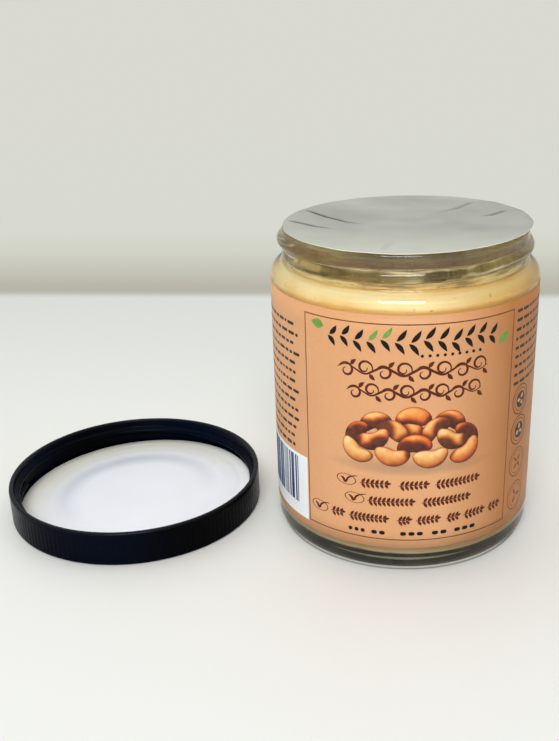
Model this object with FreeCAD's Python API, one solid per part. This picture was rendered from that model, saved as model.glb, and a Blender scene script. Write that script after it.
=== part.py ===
import FreeCAD, Part
import math
import os

# A straight-sided glass jar of cashew butter, sealed with foil, and its screw cap lying upturned
# beside it. All lengths are in millimetres and all angles in degrees. The jar's axis is Z, its
# base rests on Z = 0, and the front of the label faces -Y.

# glass body
jar_radius = 36.35
jar_height = 86.3
wall_thickness = 3.0
heel_radius = 3.6
shoulder_radius = 3.2
floor_thickness = 4.4
floor_corner_radius = 2.0
bearing_ring_width = 4.6
push_up_depth = 1.2
push_up_slope = 2.0

# neck and its thread
neck_height = 9.5
shoulder_width = 3.25
neck_wall = 2.6
neck_fillet = 1.0
inner_shoulder_drop = 2.6
inner_shoulder_turn = 60.0
lip_outer_round = 1.1
lip_inner_round = 0.8
thread_pitch = 3.175
thread_depth = 1.35
thread_width = 3.4
thread_turns = 1.02
thread_start_angle = 215.0
thread_start_below_lip = 6.1
thread_run_out = 26.0
thread_sink = 0.3
thread_section_angle = 12.0

# cashew butter
headspace = 8.9
butter_dish = 0.9
butter_clearance = 0.03

# label, wrapped round the body with a seam at the back
label_thickness = 0.15
label_above_heel = 3.8
label_below_shoulder = 1.5
label_seam = 1.6

# foil seal on the lip, with a free rim that curls up at one side
foil_thickness = 0.2
foil_overhang = 0.8
foil_curl = 0.55
foil_droop = 0.15
foil_curl_angle = 0.0
foil_rim_points = 16

# screw cap, open side up
cap_height = 10.0
cap_wall = 1.35
cap_top_thickness = 0.9
cap_edge_round = 0.8
cap_rim_round = 0.4
cap_rim_band = 1.6
cap_rib_count = 150
cap_rib_depth = 0.3
cap_thread_clearance = 1.6
cap_neck_clearance = 0.6
cap_thread_width = 2.4
cap_thread_below_rim = 2.8
cap_thread_above_top = 3.0
cap_thread_start_angle = 180.0
cap_gap = 6.72
cap_direction = 180.2

# cap liner, a loose disc that lies aslant in the cap
liner_thickness = 0.6
liner_clearance = 0.3
liner_rise = 2.5
liner_rise_angle = 0.0

# sizes that follow
neck_radius = jar_radius - shoulder_width
neck_inner_radius = neck_radius - neck_wall
inner_radius = jar_radius - wall_thickness
shoulder_top = jar_height - neck_height
foil_radius = neck_radius + foil_overhang
cap_inner_radius = neck_radius + thread_depth + cap_thread_clearance
cap_thread_rise = cap_height - cap_top_thickness - cap_thread_above_top - cap_thread_below_rim
cap_thread_turns = cap_thread_rise / thread_pitch
cap_radius = cap_inner_radius + cap_wall
cap_distance = jar_radius + label_thickness + cap_gap + cap_radius
liner_radius = cap_inner_radius - liner_clearance

overshoot = 1.0  # how far a cutting tool reaches past the face it cuts
origin = FreeCAD.Vector(0, 0, 0)
upward = FreeCAD.Vector(0, 0, 1)


def place(radius, height, angle=0.0):
    """The point at a radius and a height, turned about Z."""
    turn = math.radians(angle)
    return FreeCAD.Vector(radius * math.cos(turn), radius * math.sin(turn), height)


def polar(centre, radius, angle):
    """A point of a circle in the radius-height plane."""
    turn = math.radians(angle)
    return (centre[0] + radius * math.cos(turn), centre[1] + radius * math.sin(turn))


def revolve_profile(stations):
    """Revolve a closed outline. A station is a point or a bend: (centre, radius, from, to)."""
    edges = []
    path = []
    for station in stations:
        if len(station) == 2:
            path.append((station, station))
            continue
        centre, radius, start, end = station
        ends = [polar(centre, radius, angle) for angle in (start, (start + end) / 2, end)]
        bend = Part.Arc(*[place(*spot) for spot in ends])
        edges.append(bend.toShape())
        path.append((ends[0], ends[2]))
    for before, after in zip(path, path[1:] + path[:1]):
        if math.dist(before[1], after[0]) > 1e-6:
            edges.append(Part.LineSegment(place(*before[1]), place(*after[0])).toShape())
    outline = Part.Wire(Part.__sortEdges__(edges))
    return Part.Face(outline).revolve(origin, upward, 360)


def ring(outer, inner, bottom, top):
    tube = Part.makeCylinder(outer, top - bottom, place(0, bottom))
    return tube.cut(Part.makeCylinder(inner, top - bottom, place(0, bottom)))


def ridge_round(width, depth):
    """Radius of the arc that is a ridge's cross-section, from its width and depth."""
    return (width * width / 4 + depth * depth) / (2 * depth)


def helical_ridge(radius, depth, width, pitch, turns, start_angle, start_height):
    """A round bar coiled about Z, whose crest stands a depth off a wall of the given radius.

    A negative depth points inward. Both ends sink into the wall, where they run out.
    """
    bend = ridge_round(width, abs(depth))
    side = math.copysign(1, depth)
    count = round(360 * turns / thread_section_angle)
    sections = []
    for index in range(count + 1):
        turned = 360 * turns * index / count
        share = min(1, turned / thread_run_out, (360 * turns - turned) / thread_run_out)
        fade = share * share * (3 - 2 * share)
        crest = radius + depth * fade - side * thread_sink * (1 - fade)
        angle = start_angle + turned
        centre = place(crest - side * bend, start_height + pitch * turned / 360, angle)
        section = Part.makeCircle(bend, centre, place(1, 0, angle + 90))
        sections.append(Part.Wire(section))
    return Part.makeLoft(sections, True)


def jar_outside():
    shoulder = (jar_radius - shoulder_radius, shoulder_top - shoulder_radius)
    reach = neck_radius + neck_fillet - shoulder[0]
    rise = math.sqrt((shoulder_radius + neck_fillet) ** 2 - reach ** 2)
    fillet = (neck_radius + neck_fillet, shoulder[1] + rise)
    turn = math.degrees(math.atan2(rise, reach))
    ring_outer = jar_radius - heel_radius
    ring_inner = ring_outer - bearing_ring_width
    return revolve_profile([
        (0, push_up_depth),
        (ring_inner - push_up_slope, push_up_depth),
        (ring_inner, 0),
        ((ring_outer, heel_radius), heel_radius, -90, 0),
        (shoulder, shoulder_radius, 0, turn),
        (fillet, neck_fillet, 180 + turn, 180),
        ((neck_radius - lip_outer_round, jar_height - lip_outer_round), lip_outer_round, 0, 90),
        (0, jar_height),
    ])


def jar_inside(clearance):
    """The hollow of the jar, smaller all round by a clearance."""
    turn = math.radians(inner_shoulder_turn)
    bend = (inner_radius - neck_inner_radius) / (2 - 2 * math.cos(turn))
    half_rise = bend * math.sin(turn)
    middle = shoulder_top - inner_shoulder_drop
    lower = (inner_radius - bend, middle - half_rise)
    upper = (neck_inner_radius + bend, middle + half_rise)
    corner = (inner_radius - floor_corner_radius, floor_thickness + floor_corner_radius)
    mouth = (neck_inner_radius + lip_inner_round, jar_height - lip_inner_round)
    return revolve_profile([
        (0, floor_thickness + clearance),
        (corner, floor_corner_radius - clearance, -90, 0),
        (lower, bend - clearance, 0, inner_shoulder_turn),
        (upper, bend + clearance, 180 + inner_shoulder_turn, 180),
        (mouth, lip_inner_round + clearance, 180, 90),
        (mouth[0], jar_height + overshoot),
        (0, jar_height + overshoot),
    ])


def glass_jar():
    thread = helical_ridge(neck_radius, thread_depth, thread_width, thread_pitch, thread_turns,
                           thread_start_angle, jar_height - thread_start_below_lip)
    return jar_outside().fuse(thread).cut(jar_inside(0))


def cashew_butter():
    """The filling, with its top a little lower in the middle than at the wall."""
    top = jar_height - headspace
    dish_radius = (inner_radius ** 2 + butter_dish ** 2) / (2 * butter_dish)
    dish = Part.makeSphere(dish_radius, place(0, top - butter_dish + dish_radius))
    level = Part.makeCylinder(jar_radius, top)
    return jar_inside(butter_clearance).common(level).cut(dish)


def wrap_label():
    bottom = heel_radius + label_above_heel
    top = shoulder_top - shoulder_radius - label_below_shoulder
    outer = jar_radius + label_thickness
    seam = Part.makeBox(label_seam, outer, top - bottom, FreeCAD.Vector(-label_seam / 2, 0, bottom))
    return ring(outer, jar_radius, bottom, top).cut(seam)


def foil_rim_height(angle):
    """How far the free rim stands above the lip: most on one side, and below it on the other."""
    share = (1 + math.cos(math.radians(angle - foil_curl_angle))) / 2
    return foil_curl * share - foil_droop * (1 - share)


def foil_seal():
    sealed = Part.makeCircle(neck_radius - lip_outer_round, place(0, jar_height))
    spots = []
    for index in range(foil_rim_points):
        angle = 360 * index / foil_rim_points
        spots.append(place(foil_radius, jar_height + foil_rim_height(angle), angle))
    rim = Part.BSplineCurve()
    rim.interpolate(spots, PeriodicFlag=True)
    lift = place(0, foil_thickness)
    disc = Part.Face(Part.Wire(sealed)).extrude(lift)
    curl = Part.makeRuledSurface(sealed, rim.toShape()).extrude(lift)
    return disc.fuse(curl)


def cap_ribs():
    """A prism whose outline goes in and out once for each grip rib."""
    corners = []
    for index in range(2 * cap_rib_count):
        radius = cap_radius - cap_rib_depth * (index % 2)
        corners.append(place(radius, cap_edge_round, 180 * index / cap_rib_count))
    outline = Part.makePolygon(corners + corners[:1])
    return Part.Face(outline).extrude(place(0, cap_height - cap_rim_band - cap_edge_round))


def screw_cap():
    core_radius = cap_radius - cap_rib_depth
    core = revolve_profile([
        (0, 0),
        ((core_radius - cap_edge_round, cap_edge_round), cap_edge_round, -90, 0),
        (core_radius, cap_height - cap_rim_band),
        (cap_radius, cap_height - cap_rim_band),
        ((cap_radius - cap_rim_round, cap_height - cap_rim_round), cap_rim_round, 0, 90),
        (0, cap_height),
    ])
    hollow = revolve_profile([
        (0, cap_top_thickness),
        (cap_inner_radius, cap_top_thickness),
        ((cap_inner_radius + cap_rim_round, cap_height - cap_rim_round), cap_rim_round, 180, 90),
        (cap_inner_radius + cap_rim_round, cap_height + overshoot),
        (0, cap_height + overshoot),
    ])
    depth = cap_inner_radius - neck_radius - cap_neck_clearance
    thread = helical_ridge(cap_inner_radius, -depth, cap_thread_width, thread_pitch,
                           cap_thread_turns, cap_thread_start_angle,
                           cap_top_thickness + cap_thread_above_top)
    inside_wall = Part.makeCylinder(cap_inner_radius + cap_wall / 2, cap_height)
    return core.fuse(cap_ribs()).cut(hollow).fuse(thread.common(inside_wall))


def cap_liner():
    slope = math.degrees(math.asin(liner_rise / (2 * liner_radius)))
    disc = Part.makeCylinder(liner_radius, liner_thickness)
    disc.rotate(origin, FreeCAD.Vector(0, 1, 0), -slope)
    disc.rotate(origin, upward, liner_rise_angle)
    disc.translate(place(0, cap_top_thickness + liner_rise / 2))
    return disc


def beside_jar(shape):
    """The cap and its liner are modelled about Z and then set down beside the jar."""
    shape.translate(place(cap_distance, 0, cap_direction))
    return shape


nodes = {
    "glass_jar": glass_jar(),
    "cashew_butter": cashew_butter(),
    "wrap_label": wrap_label(),
    "foil_seal": foil_seal(),
    "screw_cap": beside_jar(screw_cap()),
    "cap_liner": beside_jar(cap_liner()),
}

os.makedirs("parts", exist_ok=True)
for name, shape in nodes.items():
    solid = shape.removeSplitter()
    solid.exportStep(os.path.join("parts", name + ".step"))
    box = solid.BoundBox
    print(name, len(solid.Solids), "solid", solid.isValid(), round(solid.Volume, 1), "mm3",
          [round(v, 2) for v in (box.XMin, box.XMax, box.YMin, box.YMax, box.ZMin, box.ZMax)])
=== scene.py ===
import math
import random

import bmesh
import bpy
from mathutils import Matrix, Vector, noise


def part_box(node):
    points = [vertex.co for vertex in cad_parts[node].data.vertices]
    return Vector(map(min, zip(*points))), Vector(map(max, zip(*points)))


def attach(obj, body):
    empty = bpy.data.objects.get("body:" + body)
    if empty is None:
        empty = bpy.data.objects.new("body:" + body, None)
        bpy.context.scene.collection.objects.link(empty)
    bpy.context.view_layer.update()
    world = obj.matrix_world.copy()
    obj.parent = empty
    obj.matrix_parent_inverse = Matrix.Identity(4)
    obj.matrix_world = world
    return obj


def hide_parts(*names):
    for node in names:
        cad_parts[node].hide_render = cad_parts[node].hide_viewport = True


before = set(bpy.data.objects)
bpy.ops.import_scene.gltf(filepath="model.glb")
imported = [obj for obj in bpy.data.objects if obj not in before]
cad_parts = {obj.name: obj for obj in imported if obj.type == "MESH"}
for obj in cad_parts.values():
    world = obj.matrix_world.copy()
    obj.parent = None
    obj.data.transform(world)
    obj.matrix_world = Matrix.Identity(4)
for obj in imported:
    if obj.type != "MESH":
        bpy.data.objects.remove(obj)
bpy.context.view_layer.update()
print("frame loaded")

mm = 0.001
fullTurn = 2 * math.pi


def boxOf(node):
    low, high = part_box(node)
    return low / mm, high / mm


# helpers for meshes, all sizes in millimetres until a piece is placed

def onCircle(x, y, reach, degrees):
    return x + reach * math.cos(math.radians(degrees)), y + reach * math.sin(math.radians(degrees))


def arc(centre, radius, start, end, steps):
    return [onCircle(*centre, radius, start + (end - start) * i / steps) for i in range(steps + 1)]


def upTo(start, end, spacing):  # evenly spaced stations between two points, ends left out
    count = max(1, round(math.dist(start, end) / spacing))
    return [(start[0] + (end[0] - start[0]) * i / count, start[1] + (end[1] - start[1]) * i / count)
            for i in range(1, count)]


def revolve(profile, steps):
    bm = bmesh.new()
    verts = [bm.verts.new((radius, 0, height)) for radius, height in profile]
    edges = [bm.edges.new(pair) for pair in zip(verts, verts[1:])]
    bmesh.ops.spin(bm, geom=verts + edges, axis=(0, 0, 1), cent=(0, 0, 0), dvec=(0, 0, 0),
                   angle=fullTurn, steps=steps, use_merge=True, use_duplicate=False)
    bmesh.ops.remove_doubles(bm, verts=bm.verts, dist=0.0005)
    bmesh.ops.recalc_face_normals(bm, faces=bm.faces)
    return bm


def polarOf(co):
    return math.hypot(co.x, co.y), math.atan2(co.y, co.x)


def setRadius(vert, radius):
    now = math.hypot(vert.co.x, vert.co.y)
    vert.co.x *= radius / now
    vert.co.y *= radius / now


def wobble(angle, size, seed):  # noise that closes on itself round a circle
    return noise.noise(Vector((math.cos(angle) * size, math.sin(angle) * size, seed)))


def smoothStep(value):
    value = min(1.0, max(0.0, value))
    return value * value * (3 - 2 * value)


def ridgeAt(angle, height, thread):  # how far a helical ridge stands out here, from 0 to 1
    best = 0.0
    turned = (math.degrees(angle) - thread["startAngle"]) % 360 / 360
    while turned < thread["turns"] + thread["fade"]:
        across = (height - thread["startHeight"] - turned * thread["pitch"]) / (thread["width"] / 2)
        fromEnds = min(turned + thread["fade"], thread["turns"] + thread["fade"] - turned)
        if abs(across) < 1:
            best = max(best, (1 - across * across) ** 0.8 * smoothStep(fromEnds / thread["fade"]))
        turned += 1
    return best


def doubled(bm, depth):  # gives open faces a second side
    raised = bmesh.ops.extrude_face_region(bm, geom=bm.faces[:], use_keep_orig=True)["geom"]
    moved = [part for part in raised if isinstance(part, bmesh.types.BMVert)]
    bmesh.ops.translate(bm, verts=moved, vec=(0, 0, depth))


def place(bm, name, material, replaces=(), centre=(0, 0), smooth=True):
    bmesh.ops.translate(bm, verts=bm.verts, vec=(centre[0], centre[1], 0))
    bmesh.ops.scale(bm, verts=bm.verts, vec=(mm, mm, mm))
    mesh = bpy.data.meshes.new(name)
    bm.to_mesh(mesh)
    bm.free()
    for face in mesh.polygons:
        face.use_smooth = smooth
    mesh.materials.append(material)
    piece = bpy.data.objects.new(name, mesh)
    bpy.context.scene.collection.objects.link(piece)
    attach(piece, "root")
    if replaces:
        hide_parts(*replaces)
    return piece


# helpers for finishes

def tone(red, green, blue):  # a screen colour from 0 to 255, as the linear one a socket takes
    parts = [c / 255 for c in (red, green, blue)]
    return [c / 12.92 if c <= 0.04045 else ((c + 0.055) / 1.055) ** 2.4 for c in parts] + [1.0]


class Nodes:
    def __init__(self, tree):
        self.tree = tree

    def node(self, kind, **settings):
        made = self.tree.nodes.new(kind)
        for key, value in settings.items():
            if key in made.inputs:
                made.inputs[key].default_value = value
            else:
                setattr(made, key, value)
        return made

    def link(self, source, target):
        self.tree.links.new(source, target)

    def feed(self, sockets, values):  # plain values are set, outputs are linked
        for socket, value in zip(sockets, values):
            if isinstance(value, (int, float, list)):
                socket.default_value = value
            else:
                self.link(value, socket)

    def split(self, source):  # x, y and z
        made = self.node("ShaderNodeSeparateXYZ")
        self.link(source, made.inputs["Vector"])
        return made.outputs["X"], made.outputs["Y"], made.outputs["Z"]

    def ramp(self, value, stops):
        made = self.node("ShaderNodeValToRGB")
        points = made.color_ramp.elements
        points[0].position, points[0].color = stops[0]
        points[1].position, points[1].color = stops[-1]
        for at, colour in stops[1:-1]:
            points.new(at).color = colour
        self.link(value, made.inputs["Fac"])
        return made.outputs["Color"]

    def math(self, operation, first, second=0.0, third=0.0, clamp=False):
        made = self.node("ShaderNodeMath", operation=operation, use_clamp=clamp)
        self.feed(made.inputs, (first, second, third))
        return made.outputs["Value"]

    def rise(self, value, start, rate, clamp=True):  # 0 at the start, then up
        return self.math("MULTIPLY", self.math("SUBTRACT", value, start), rate, clamp=clamp)

    def length(self, x, y):
        return self.math("SQRT", self.math("ADD", self.math("POWER", x, 2.0), self.math("POWER", y, 2.0)))

    def mix(self, factor, first, second, blend="MIX"):
        made = self.node("ShaderNodeMix", data_type="RGBA", blend_type=blend, clamp_result=True)
        self.feed((made.inputs[0], made.inputs[6], made.inputs[7]), (factor, first, second))
        return made.outputs[2]

    def times(self, first, second):
        return self.mix(1.0, first, second, "MULTIPLY")

    def spread(self, value, low, high, start=0.3, end=0.7):  # remaps a noise to a range
        made = self.node("ShaderNodeMapRange")
        for socket, number in (("From Min", start), ("From Max", end), ("To Min", low), ("To Max", high)):
            made.inputs[socket].default_value = number
        self.link(value, made.inputs["Value"])
        return made.outputs["Result"]


class Finish(Nodes):
    def __init__(self, name, **sockets):
        self.material = bpy.data.materials.new(name)
        self.material.use_nodes = True
        super().__init__(self.material.node_tree)
        self.shader = self.tree.nodes["Principled BSDF"]
        self.ends = self.tree.nodes["Material Output"]
        for socket, value in sockets.items():
            self.shader.inputs[socket.replace("_", " ")].default_value = value
        self.where = self.node("ShaderNodeTexCoord").outputs["Object"]

    def noise(self, size, detail=3.0, stretch=(1, 1, 1)):  # size of a blotch in mm
        mapping = self.node("ShaderNodeMapping")
        mapping.inputs["Scale"].default_value = [s / (size * mm) for s in stretch]
        self.link(self.where, mapping.inputs["Vector"])
        texture = self.node("ShaderNodeTexNoise", Scale=1.0, Detail=detail)
        self.link(mapping.outputs["Vector"], texture.inputs["Vector"])
        return texture.outputs["Fac"]

    def colour(self, source):
        self.link(source, self.shader.inputs["Base Color"])

    def blotches(self, source, dark, light):
        return self.ramp(source, [(0.3, tone(*dark)), (0.7, tone(*light))])

    def roughness(self, source, low, high):
        self.link(self.spread(source, low, high), self.shader.inputs["Roughness"])

    def bump(self, source, depth, strength=1.0):  # depth in mm
        made = self.node("ShaderNodeBump", Strength=strength, Distance=depth * mm)
        self.link(source, made.inputs["Height"])
        last = self.shader.inputs["Normal"]
        if last.is_linked:
            self.link(last.links[0].from_socket, made.inputs["Normal"])
        self.link(made.outputs["Normal"], last)

    def giveWay(self, factor, other):  # another shader takes over by the factor
        either = self.node("ShaderNodeMixShader")
        self.feed(either.inputs, (factor, self.shader.outputs["BSDF"], other))
        self.link(either.outputs["Shader"], self.ends.inputs["Surface"])


def inkFinish(name, dark, light, blotch=1.2):
    ink = Finish(name, Roughness=0.4, Specular_IOR_Level=0.2)
    ink.colour(ink.blotches(ink.noise(blotch, 4.0), dark, light))
    ink.roughness(ink.noise(0.8), 0.34, 0.5)
    ink.bump(ink.noise(0.25, 2.0), 0.01, 0.5)
    return ink.material


# glass jar

jarHigh = boxOf("glass_jar")[1]
jar = {
    "radius": jarHigh.x, "height": jarHigh.z, "wall": 3.0, "floor": 4.4,
    "heelRound": 3.6, "shoulderRound": 3.2, "neckRadius": 33.1, "boreRadius": 30.5,
    "neckFillet": 1.0, "lipOutside": 1.1, "lipInside": 0.8, "floorRound": 0.5,
    "ringInside": 28.15, "pushUp": 1.2, "innerTurn": 60, "innerDrop": 2.6, "neck": 9.5, "steps": 288,
}
jarThread = {
    "startAngle": 215.0, "startHeight": 80.2, "pitch": 3.175, "turns": 1.02, "width": 3.4,
    "depth": 1.35, "fade": 0.07,
}
jar["inside"] = jar["radius"] - jar["wall"]
jar["shoulderTop"] = jar["height"] - jar["neck"]


def innerShoulder(grow=0.0):  # the S-shaped curve from the wall in to the bore
    bend = (jar["inside"] - jar["boreRadius"])
    rise = bend * math.sin(math.radians(jar["innerTurn"]))
    middle = jar["shoulderTop"] - jar["innerDrop"]
    lower = arc((jar["boreRadius"], middle - rise), bend + grow, 0, jar["innerTurn"], 10)
    upper = arc((jar["inside"], middle + rise), bend - grow, 180 + jar["innerTurn"], 180, 10)
    return lower + upper[1:]


def innerFloor(grow=0.0):
    centre = (jar["inside"] - jar["floorRound"], jar["floor"] + jar["floorRound"])
    return [(0, jar["floor"] - grow)] + arc(centre, jar["floorRound"] + grow, -90, 0, 10)


def buildJar():
    wide, neck, top, bore = jar["radius"], jar["neckRadius"], jar["height"], jar["boreRadius"]
    shoulder, heel, fillet = jar["shoulderRound"], jar["heelRound"], jar["neckFillet"]
    ring = jar["ringInside"]
    shoulderCentre = (wide - shoulder, jar["shoulderTop"] - shoulder)
    reach = shoulder + fillet
    turn = math.degrees(math.acos((neck + fillet - shoulderCentre[0]) / reach))
    filletHeight = shoulderCentre[1] + reach * math.sin(math.radians(turn))
    lipCentre = (neck - jar["lipOutside"], top - jar["lipOutside"])
    outside = [(0, jar["pushUp"]), (ring - 2.0, jar["pushUp"]), (ring - 1.2, 0.7), (ring - 0.4, 0.12),
               (ring + 0.4, 0)]
    outside += arc((wide - heel, heel), heel, -90, 0, 12)
    outside += upTo((wide, heel), (wide, shoulderCentre[1]), 6.0)
    outside += arc(shoulderCentre, shoulder, 0, turn, 14)
    outside += arc((neck + fillet, filletHeight), fillet, 180 + turn, 180, 8)[1:]
    outside += upTo((neck, filletHeight), (neck, lipCentre[1]), 0.16)
    outside += arc(lipCentre, jar["lipOutside"], 0, 90, 10)
    mouthCentre = (bore + jar["lipInside"], top - jar["lipInside"])
    inside = arc(mouthCentre, jar["lipInside"], 90, 180, 8)
    inside += upTo((bore, mouthCentre[1]), innerShoulder()[-1], 1.0)
    inside += innerShoulder()[::-1]
    inside += upTo(innerShoulder()[0], innerFloor()[-1], 6.0)
    inside += innerFloor()[::-1]
    bm = revolve(outside + inside, jar["steps"])
    for vert in bm.verts:
        radius, angle = polarOf(vert.co)
        if radius > neck - 0.5 and filletHeight - 0.9 < vert.co.z < top - 0.2:
            ridge = ridgeAt(angle, vert.co.z, jarThread)
            if ridge > 0:
                setRadius(vert, max(radius, neck + jarThread["depth"] * ridge))
    return bm


def glassFinish():
    glass = Finish("clearGlass", Roughness=0.0, IOR=1.5, Transmission_Weight=1.0)
    seed = glass.noise(14, 2.0)
    glass.colour(glass.ramp(seed, [(0.3, [0.94, 0.95, 0.90, 1]), (0.7, [0.975, 0.98, 0.945, 1])]))
    glass.bump(glass.noise(16, 1.5, stretch=(1, 1, 0.5)), 0.07)
    glass.bump(glass.noise(2.4, 2.0), 0.006)
    body = glass.node("ShaderNodeVolumeAbsorption", Density=170.0)
    body.inputs["Color"].default_value = [0.81, 0.81, 0.73, 1]
    glass.link(body.outputs["Volume"], glass.ends.inputs["Volume"])
    clear = glass.node("ShaderNodeBsdfTransparent", Color=[0.97, 0.96, 0.92, 1])
    shadow = glass.node("ShaderNodeLightPath").outputs["Is Shadow Ray"]  # lets lamps reach the butter
    glass.giveWay(shadow, clear.outputs["BSDF"])
    return glass.material


place(buildJar(), "glassJar", glassFinish(), ["glass_jar"])
print("jar done")

# cashew butter, up to just inside the glass

butter = {
    "intoGlass": 0.06, "level": 77.4, "dish": 0.9, "waves": 0.35, "steps": 240,
    "layers": [  # colour by height: painted shade on the underside up to 4.45 mm, painted light just above it, and painted highlights in the pale bands from 73.2 to 74.8 mm; height in mm, colour
        (0.0, (120, 102, 70)), (4.45, (120, 102, 70)), (4.65, (255, 224, 168)), (9.0, (255, 216, 154)),
        (30.0, (242, 208, 146)), (70.6, (240, 192, 108)), (72.2, (240, 190, 104)), (73.2, (255, 228, 170)),
        (74.0, (255, 236, 190)), (74.8, (254, 224, 164)), (75.6, (246, 204, 130)), (76.8, (240, 196, 120)),
        (77.4, (226, 186, 122)),
    ],
    "paintedShadeFrom": 6.0, "paintedShade": [0.84, 0.72, 0.5, 1],
}
smear = {
    "bottom": 76.0, "top": 85.0, "reach": 0.3, "film": 0.2, "steps": 300,
    "layers": [  # butter and oil left inside the neck; two pale bands are painted highlights for the thread's glints
        (76.0, (240, 204, 138)), (77.2, (232, 196, 132)), (78.2, (206, 176, 118)), (79.0, (170, 146, 92)),
        (79.7, (120, 100, 52)), (80.1, (146, 126, 80)), (80.35, (242, 228, 190)), (80.6, (146, 124, 80)),
        (81.2, (134, 112, 68)), (81.5, (220, 198, 154)), (81.75, (108, 82, 42)), (82.6, (108, 82, 46)),
        (83.8, (124, 100, 60)), (84.6, (158, 140, 100)), (85.3, (190, 178, 142)),
    ],
    "calmAbove": 81.5, "middle": 1.0, "paintedLightFrom": 10.0, "side": [2.15, 2.25, 2.3, 1],
}


def buildButter():
    grow = butter["intoGlass"]
    wall = [p for p in innerShoulder(grow) if p[1] < butter["level"]]
    side = innerFloor(grow) + upTo(innerFloor(grow)[-1], wall[0], 6.0) + wall
    rim = side[-1][0]
    top = [(rim - 0.1, butter["level"])]
    top += [(rim * (1 - i / 14), butter["level"] - butter["dish"] * math.sin(math.pi / 2 * i / 14))
            for i in range(1, 15)]
    top[-1] = (0, top[-1][1])
    bm = revolve(side + top, butter["steps"])
    for vert in bm.verts:
        if vert.co.z > butter["level"] - butter["dish"] - 0.2:
            radius, angle = polarOf(vert.co)
            inner = 1 - smoothStep((radius - rim + 6) / 6)
            vert.co.z += noise.noise(vert.co * 0.16) * 1.2 * inner
            vert.co.z += wobble(angle, 4, 12) * butter["waves"] * (1 - inner)
    return bm


def buildSmear():
    outer = jar["boreRadius"] + butter["intoGlass"]
    wall = [p for p in innerShoulder(butter["intoGlass"]) if p[1] > smear["bottom"]]
    rows = wall + upTo((outer, wall[-1][1]), (outer, smear["top"] + smear["reach"]), 0.25)
    inward = [(r - smear["film"], z) for r, z in rows[::-1]]
    bm = revolve(rows + inward + rows[:1], smear["steps"])
    for vert in bm.verts:
        angle = polarOf(vert.co)[1]
        edge = smear["top"] + smear["reach"] * (wobble(angle, 3, 0) * 0.7 + wobble(angle, 19, 0) * 0.8)
        if vert.co.z > edge:
            vert.co.z = edge + (vert.co.z - edge) * 0.02
    return bm


def smearFinish():
    film = Finish("neckFilm", Roughness=0.3)
    x, _, z = film.split(film.where)
    low, high = smear["layers"][0][0], smear["layers"][-1][0]
    wander = film.rise(film.noise(9, 2.0), 0.5, 1.0 * mm, clamp=False)
    height = film.math("SUBTRACT", film.math("ADD", z, wander), low * mm)
    share = film.math("DIVIDE", height, (high - low) * mm, clamp=True)
    body = film.ramp(share, [((at - low) / (high - low), tone(*colour)) for at, colour in smear["layers"]])
    streaks = film.noise(1.0, 3.0, stretch=(0.12, 0.12, 1.0))
    dark = film.ramp(streaks, [(0.36, [0.5, 0.45, 0.34, 1]), (0.5, [1, 1, 1, 1]),
                               (0.64, [1.3, 1.3, 1.25, 1])])
    flecks = film.ramp(film.noise(0.7, 2.0, stretch=(0.3, 0.3, 1.0)),
                       [(0.30, [0.6, 0.56, 0.45, 1]), (0.38, [1, 1, 1, 1]), (0.64, [1, 1, 1, 1]),
                        (0.72, [1.3, 1.3, 1.3, 1])])
    calm = film.math("MULTIPLY", film.rise(z, smear["calmAbove"] * mm, 1000.0), 0.6)
    body = film.mix(calm, film.times(film.times(body, dark), flecks), body)
    # painted light: the film lighter to both sides of the middle, beyond 10 mm
    along = film.math("ABSOLUTE", film.math("ADD", x, -smear["middle"] * mm))
    side = film.rise(along, smear["paintedLightFrom"] * mm, 90.0)
    pale = film.math("MULTIPLY", side, film.math("ADD", calm, 0.4))
    film.colour(film.mix(pale, body, film.times(body, smear["side"])))
    film.roughness(film.noise(3), 0.2, 0.4)
    film.bump(streaks, 0.15, 0.6)
    return film.material


def butterFinish():
    spread = Finish("cashewButter", Roughness=0.42, Subsurface_Weight=0.12, Subsurface_Scale=0.002)
    x, _, z = spread.split(spread.where)
    wander = spread.rise(spread.noise(12, 2.0), 0.5, 2.4 * mm, clamp=False)
    share = spread.math("DIVIDE", spread.math("ADD", z, wander), butter["level"] * mm, clamp=True)
    body = spread.ramp(share, [(at / butter["level"], tone(*colour)) for at, colour in butter["layers"]])
    clots = spread.ramp(spread.noise(9, 4.0), [(0.3, [0.96, 0.94, 0.90, 1]), (0.7, [1, 1, 1, 1])])
    body = spread.times(body, clots)
    # painted shade: the butter darker towards the right, from x = 6 mm on
    body = spread.mix(spread.rise(x, butter["paintedShadeFrom"] * mm, 50.0), body, spread.times(body, butter["paintedShade"]))
    specks = spread.ramp(spread.noise(0.9, 2.0), [(0.68, [0, 0, 0, 1]), (0.76, [1, 1, 1, 1])])
    spread.colour(spread.mix(spread.math("MULTIPLY", specks, 0.55), body, tone(132, 88, 44)))
    spread.roughness(spread.noise(3), 0.3, 0.55)
    spread.bump(spread.noise(0.7, 4.0), 0.12, 0.6)
    return spread.material


place(buildButter(), "butterFill", butterFinish(), ["cashew_butter"])
place(buildSmear(), "butterSmear", smearFinish())
print("butter done")

# paper label and its print

labelLow, labelHigh = boxOf("wrap_label")
label = {
    "radius": labelHigh.x, "low": labelLow.z, "high": labelHigh.z, "intoGlass": 0.05, "seam": 1.6,
    "steps": 320, "paper": (226, 166, 118), "paperLight": (232, 174, 127), "shade": (190, 148, 114),
    "paintedShade": [0.66, 0.52, 0.34, 1], "paintedShadeFrom": 0.10, "paintedShadeOver": 0.20, "backFrom": 0.42, "backOver": 0.62,
    "shadow": (0.022, 0.3125), "shadowReach": (0.235, 0.026),
}
panel = {"left": -27.3, "right": 31.0, "low": 9.9, "high": 69.8, "rule": 0.3}
ink = {"thick": 0.03, "cut": 1.4}


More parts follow.
